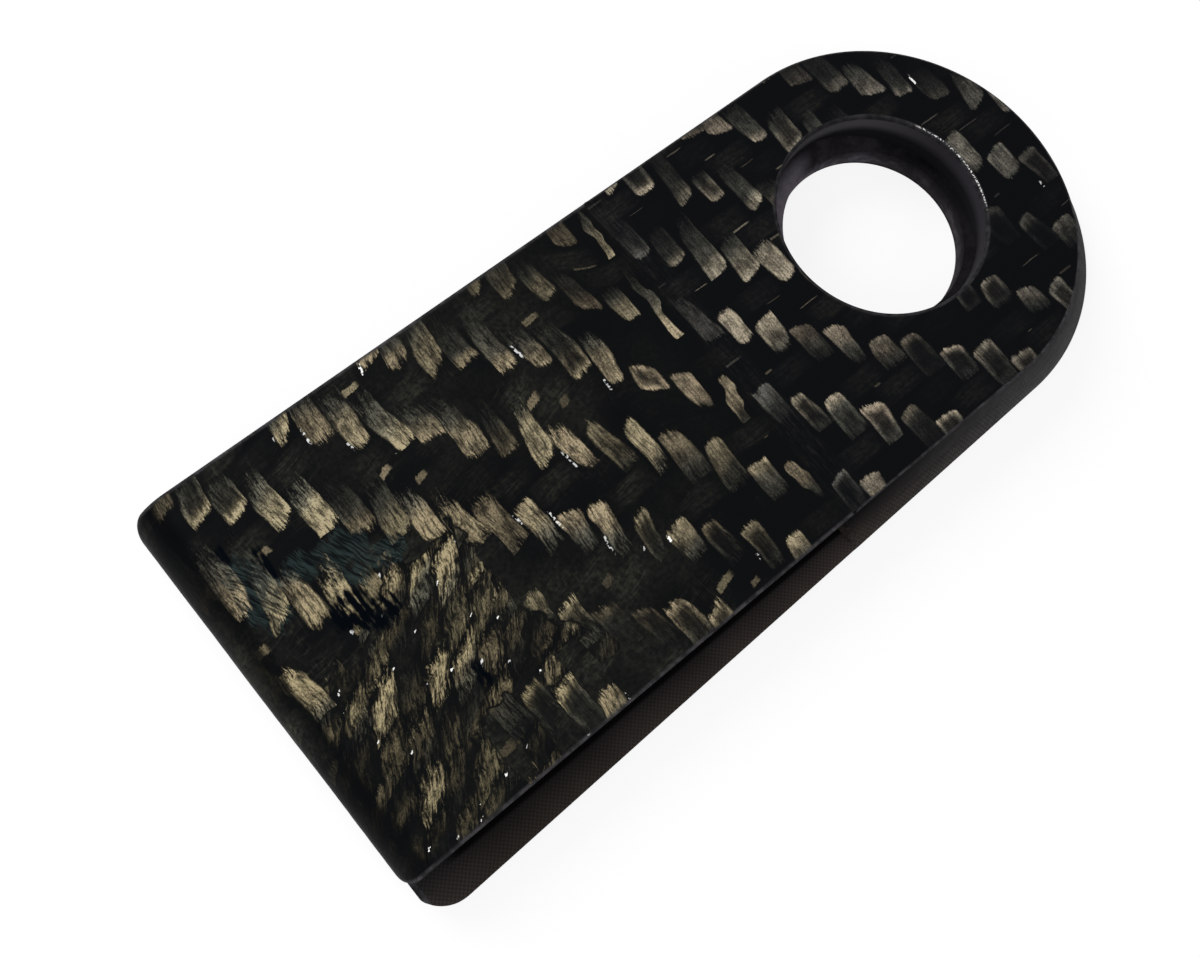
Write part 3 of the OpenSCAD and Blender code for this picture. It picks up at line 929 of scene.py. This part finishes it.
def packing_finish(name):
    """Packing plies: a grey sanded wall outside, with painted shade that darkens it up under the upper leaf
    and painted light towards its foot and towards the round end. Behind the hole painted shade makes it as
    dark as the open ledge, with its imprint of fine cloth. In the hole's recess painted shade makes it
    almost black."""
    f = Finish(name)
    place = f.place()
    x, y, z = f.split(place)
    dust = f.noise(place, 1300.0, 5.0, 0.6)
    scratch = f.noise(f.vector(f.times(x, 250.0), f.times(y, 250.0), f.times(z, 6000.0)), 1.0, 3.0)
    up = f.ramp(z, LEAF_T, HEIGHT - LEAF_T)
    # Painted light and shade: lighter at the foot and towards the round end, darkest at the head by the
    # crease
    foot = f.blend(f.ramp(x, CREASE_X + 0.2 * MM, 6 * MM), srgb(60, 55, 52), srgb(72, 72, 72))
    shaded_head = f.blend(f.ramp(x, CREASE_X + 0.2 * MM, 2 * MM), srgb(12, 12, 13), srgb(52, 52, 53))
    wall = f.blend(up, foot, shaded_head)
    rubbed = f.ramp(f.add(dust, scratch), 0.7, 1.3, 0.35, 0.0)
    wall = f.blend(rubbed, wall, srgb(20, 20, 20))
    valleys = f.ramp(peel_imprint(f, x, y), 0.5, -0.5)
    pressed = f.times(valleys, f.ramp(x, 6 * MM, -6 * MM), f.ramp(up, 0.9, 0.5), 0.4)
    wall = f.blend(pressed, wall, srgb(14, 13, 13))
    # Painted shade: almost black in the hole's recess
    recess_shade = f.ramp(f.distance(x, y), HOLE_R + 2.7 * MM, HOLE_R + 1.7 * MM)
    colour = f.blend(recess_shade, wall, srgb(26, 26, 28))
    f.bump(f.add(dust, scratch))
    return f.done(colour, roughness=0.6)


# Pieces

def tow_relief(x, y):
    """Height of the cloth's surface: a little of the weave, and behind the crease more of it on top of
    long soft lumps."""
    wild = unrest(x, y)
    cloth = weave_rise(*weave_place(x, y)) - 0.5
    rolling = lumps(x, y, LUMP_SIZE, LUMP_SEED)
    return (WEAVE_RELIEF + UNEVEN_RELIEF * wild) * cloth + LUMP_RELIEF * wild * rolling


def dress(piece, material, slot, *nodes):
    """Gives a piece its material and lets it stand for its solids."""
    piece.data.materials.append(material)
    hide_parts(*nodes)
    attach(piece, "root")


def woven(name, points, travel, ring, face):
    """A surface with the weave's coordinates and the state of the cloth and resin on it. face is 1 for the
    rows of points on its woven face and 0 for its cut edges. The crease isn't a cut edge."""
    y = points[..., 1]
    maps = {"weave": np.stack(weave_place(travel, y), -1), "pulled": np.stack(pulled_place(travel, y), -1)}
    cut = (1.0 - face[:, None]) * (np.abs(travel - CREASE_X) > TOUCH)
    cloth = np.stack([unrest(travel, y), askew(travel, y), dullness(travel, y)], -1)
    # Dark pools, places of painted bluish sheen, and cut edges
    stain_and_sheen = np.stack([blots(travel, y, RESIN_POOLS), blots(travel, y, BLUE_SHEEN), cut], -1)
    return surface(name, points, ring, maps, {"cloth": cloth, "stain_and_sheen": stain_and_sheen})


def cover_section(steps, thick):
    """Section of a cover across the strap: up the left wall, over a round arris, across the outer face,
    over the right arris, down the wall and back. Gives part, shift and depth for each point."""
    turn = np.linspace(0, math.pi / 2, ARRIS_TURNS)
    run = np.linspace(0, 1, steps)[1:-1]
    part = np.concatenate([[0], 0 * turn, run, 0 * turn + 1, [1, 0.67, 0.33]])
    shift = np.concatenate([[0], -ARRIS_R * (1 - np.cos(turn)), ARRIS_R * (2 * run - 1),
                            ARRIS_R * (1 - np.sin(turn)), [0, 0, 0]])
    depth = np.concatenate([[thick], ARRIS_R * (1 - np.sin(turn)), 0 * run,
                            ARRIS_R * (1 - np.cos(turn)), [thick, thick, thick]])
    return part, shift, depth


def face_rows(steps, turns):
    """1 for the rows of a section's face. 0 for the foot of its first wall and the rounded edge before the
    face, and for the rounded edge and the three rows of the back after it."""
    return np.concatenate([np.zeros(1 + turns), np.ones(steps - 2), np.zeros(turns + 3)])


def make_upper_cover(material):
    """A flat ply round the upper hole, with the cloth's relief on top."""
    steps = 74
    angle = eye_angles(0, count=720)
    points = ring_ply(angle, 0, 0, UPPER_LOW.z, HEIGHT, HOLE_R, RIM_R, ARRIS_R, steps, tow_relief)
    piece = woven("upper_cover", points, points[..., 0], True, face_rows(steps, RIM_TURNS))
    dress(piece, material, "twill_cover", "upper_cover_ply")


def make_lower_cover(material):
    """The same as the upper cover, turned over, with its relief pressed flat from below."""
    steps = 50
    pressed_in = 0.01 * MM

    def pressed(x, y):
        """The cloth's relief without what stands out past the flat face."""
        return np.minimum(tow_relief(x, y) - pressed_in, 0)
    angle = eye_angles(1, count=480)
    points = ring_ply(angle, 1, 1, 0, PLY_T, lower_hole_reach(angle), RIM_R, ARRIS_R, steps, pressed)
    points[..., 2] = PLY_T - points[..., 2]
    piece = woven("lower_cover", points, points[..., 0], True, face_rows(steps, RIM_TURNS))
    dress(piece, material, "twill_cover", "lower_cover_ply")


def make_wrap_cover(material):
    """A ply folded round the outside of the tail half. Its relief is lower on the bend, and underneath it
    is drawn in, so that it stays within the flat underside."""
    steps = 150
    drawn_in = 0.14 * MM
    part, shift, depth = cover_section(steps, PLY_T)
    outer = (depth == 0)[:, None]

    def cloth(travel, y, bend):
        """The relief on the outer face only."""
        under = smoothstep(0.6 * math.pi, math.pi, bend)
        return outer * (tow_relief(travel, y) * (1 - 0.75 * np.sin(bend)) - drawn_in * under)
    points, travel = folded_ply(part, shift, depth, steps=(190, 32, 130), bulge=cloth)
    piece = woven("wrap_cover", points, travel, False, face_rows(steps, ARRIS_TURNS))
    dress(piece, material, "twill_wrap", "wrap_cover_ply")


def make_slot_lining(material):
    """The lining's face in the slot has the imprint of fine cloth, closest sampled on the open ledge."""
    on_ledge = 0.88
    inner_run = np.concatenate([np.linspace(1, on_ledge, 46, endpoint=False), np.linspace(on_ledge, 0, 24)])
    edge = 0.05 * MM
    imprint_depth = 0.012 * MM
    part = np.concatenate([[0, 0.5, 1], inner_run])
    shift = np.concatenate([[0, 0, 0], edge * (2 * inner_run - 1)])
    thick = np.concatenate([[0, 0, 0], 0 * inner_run + PLY_T])
    inner = (thick > 0)[:, None]

    def imprint(travel, y, bend):
        """A sine wave along times a sine wave across, on the face in the slot only."""
        yarns = np.sin(travel * math.tau / PEEL_PITCH) * np.sin(y * math.tau / PEEL_PITCH)
        return -imprint_depth * inner * yarns
    points, _ = folded_ply(part, shift, LINING_DEPTH + thick, steps=(60, 16, 406), bulge=imprint)
    piece = surface("slot_lining", points, ring=False)
    dress(piece, material, "peel_lining", "slot_lining_ply")


def make_packing(material):
    """Packing plies whose sanded outer walls run on from one to the next in one slope."""
    edge = 0.02 * MM
    for number in range(1, PACKING_PLIES + 1):
        node = f"packing_ply_{number}"
        low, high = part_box(node)
        share_low = 1 - (number - 1) / PACKING_PLIES
        share_high = 1 - number / PACKING_PLIES
        angle = eye_angles(share_low, count=360)
        inner = HOLE_R + HOLE_RECESS
        points = ring_ply(angle, share_low, share_high, low.z, high.z, inner, edge, edge, steps=6)
        dress(surface(f"packing_{number}", points), material, "packing_laminate", node)


# Their pale colours paint the light that the tows across the strap reflect
twill_cover = twill_finish("twill_cover", srgb(12, 13, 15), srgb(167, 158, 137))
twill_wrap = twill_finish("twill_wrap", srgb(12, 13, 14), srgb(170, 158, 129))
# The last colour is the upper hole's wall in painted shade, away from the left
leaf_edge = cut_finish("leaf_edge", srgb(34, 34, 35), srgb(64, 63, 65), srgb(42, 40, 44))

make_upper_cover(twill_cover)
make_lower_cover(twill_cover)
make_wrap_cover(twill_wrap)
make_slot_lining(peel_finish("peel_lining"))
make_packing(packing_finish("packing_edge"))
for node in ("bias_ply", "strap_ply_outer", "strap_ply_inner", "upper_eye_ply", "lower_eye_ply"):
    frame["nodes"][node].data.materials.clear()
    frame["nodes"][node].data.materials.append(leaf_edge)


# Camera, light and floor

def make_camera():
    """The photographed view: from above the bend's right corner, looking along the strap."""
    right = (0.76209, -0.63566, 0.12307)
    down = (-0.58798, -0.75905, -0.27952)
    forward = (0.27110, 0.14065, -0.95222)
    data = bpy.data.cameras.new("camera")
    data.sensor_fit = "HORIZONTAL"
    data.sensor_width = SENSOR_W
    data.lens = FOCAL_PX / PICTURE_PX * SENSOR_W
    data.clip_start = 1 * MM
    camera = bpy.data.objects.new("camera", data)
    bpy.context.scene.collection.objects.link(camera)
    turn = Matrix((right, [-part for part in down], [-part for part in forward])).transposed()
    camera.matrix_world = Matrix.Translation(CAMERA_PLACE) @ turn.to_4x4()
    bpy.context.scene.camera = camera


def make_lamp(name, place, size, power):
    """A square soft box that faces the strap's middle."""
    data = bpy.data.lights.new(name, "AREA")
    data.size = size
    data.energy = power
    lamp = bpy.data.objects.new(name, data)
    bpy.context.scene.collection.objects.link(lamp)
    aim = Vector(LAMP_AIM) - Vector(place)
    lamp.matrix_world = Matrix.Translation(place) @ aim.to_track_quat("-Z", "Y").to_matrix().to_4x4()


def make_world():
    """White to the eye, dim as a light."""
    world = bpy.data.worlds.new("studio")
    world.use_nodes = True
    bpy.context.scene.world = world
    tree = world.node_tree
    seen = tree.nodes.new("ShaderNodeLightPath").outputs["Is Camera Ray"]
    level = tree.nodes.new("ShaderNodeMapRange")
    tree.links.new(seen, level.inputs[0])
    level.inputs[3].default_value = WORLD_LIGHT
    level.inputs[4].default_value = 1.0
    tree.links.new(level.outputs[0], tree.nodes["Background"].inputs["Strength"])
    tree.nodes["Background"].inputs["Color"].default_value = (1, 1, 1, 1)


def make_floor():
    """A white floor: most of what the eye sees of it is plain white, so the shadow on it stays soft."""
    half = 3.0
    corners = [(-half, -half, 0), (half, -half, 0), (half, half, 0), (-half, half, 0)]
    mesh = bpy.data.meshes.new("floor")
    mesh.from_pydata(corners, [], [(0, 1, 2, 3)])
    floor = bpy.data.objects.new("floor", mesh)
    bpy.context.scene.collection.objects.link(floor)
    material = bpy.data.materials.new("floor")
    material.use_nodes = True
    tree = material.node_tree
    tree.nodes.clear()
    matt = tree.nodes.new("ShaderNodeBsdfDiffuse")
    matt.inputs["Color"].default_value = (0.9, 0.9, 0.9, 1)
    white = tree.nodes.new("ShaderNodeEmission")
    seen = tree.nodes.new("ShaderNodeLightPath").outputs["Is Camera Ray"]
    seen_white = tree.nodes.new("ShaderNodeMath")
    seen_white.operation = "MULTIPLY"
    tree.links.new(seen, seen_white.inputs[0])
    seen_white.inputs[1].default_value = FLOOR_WHITE
    mix = tree.nodes.new("ShaderNodeMixShader")
    tree.links.new(seen_white.outputs[0], mix.inputs[0])
    tree.links.new(matt.outputs[0], mix.inputs[1])
    tree.links.new(white.outputs[0], mix.inputs[2])
    out = tree.nodes.new("ShaderNodeOutputMaterial")
    tree.links.new(mix.outputs[0], out.inputs["Surface"])
    mesh.materials.append(material)


make_camera()
make_world()
make_floor()
make_lamp("left_box", place=(-0.10, 0.35, 0.30), size=0.25, power=2.0)
make_lamp("right_box", place=(0.05, -0.38, 0.30), size=0.25, power=0.7)
make_lamp("bend_box", place=(-0.40, -0.05, 0.30), size=0.20, power=0.8)
bpy.context.scene.view_settings.view_transform = "Standard"
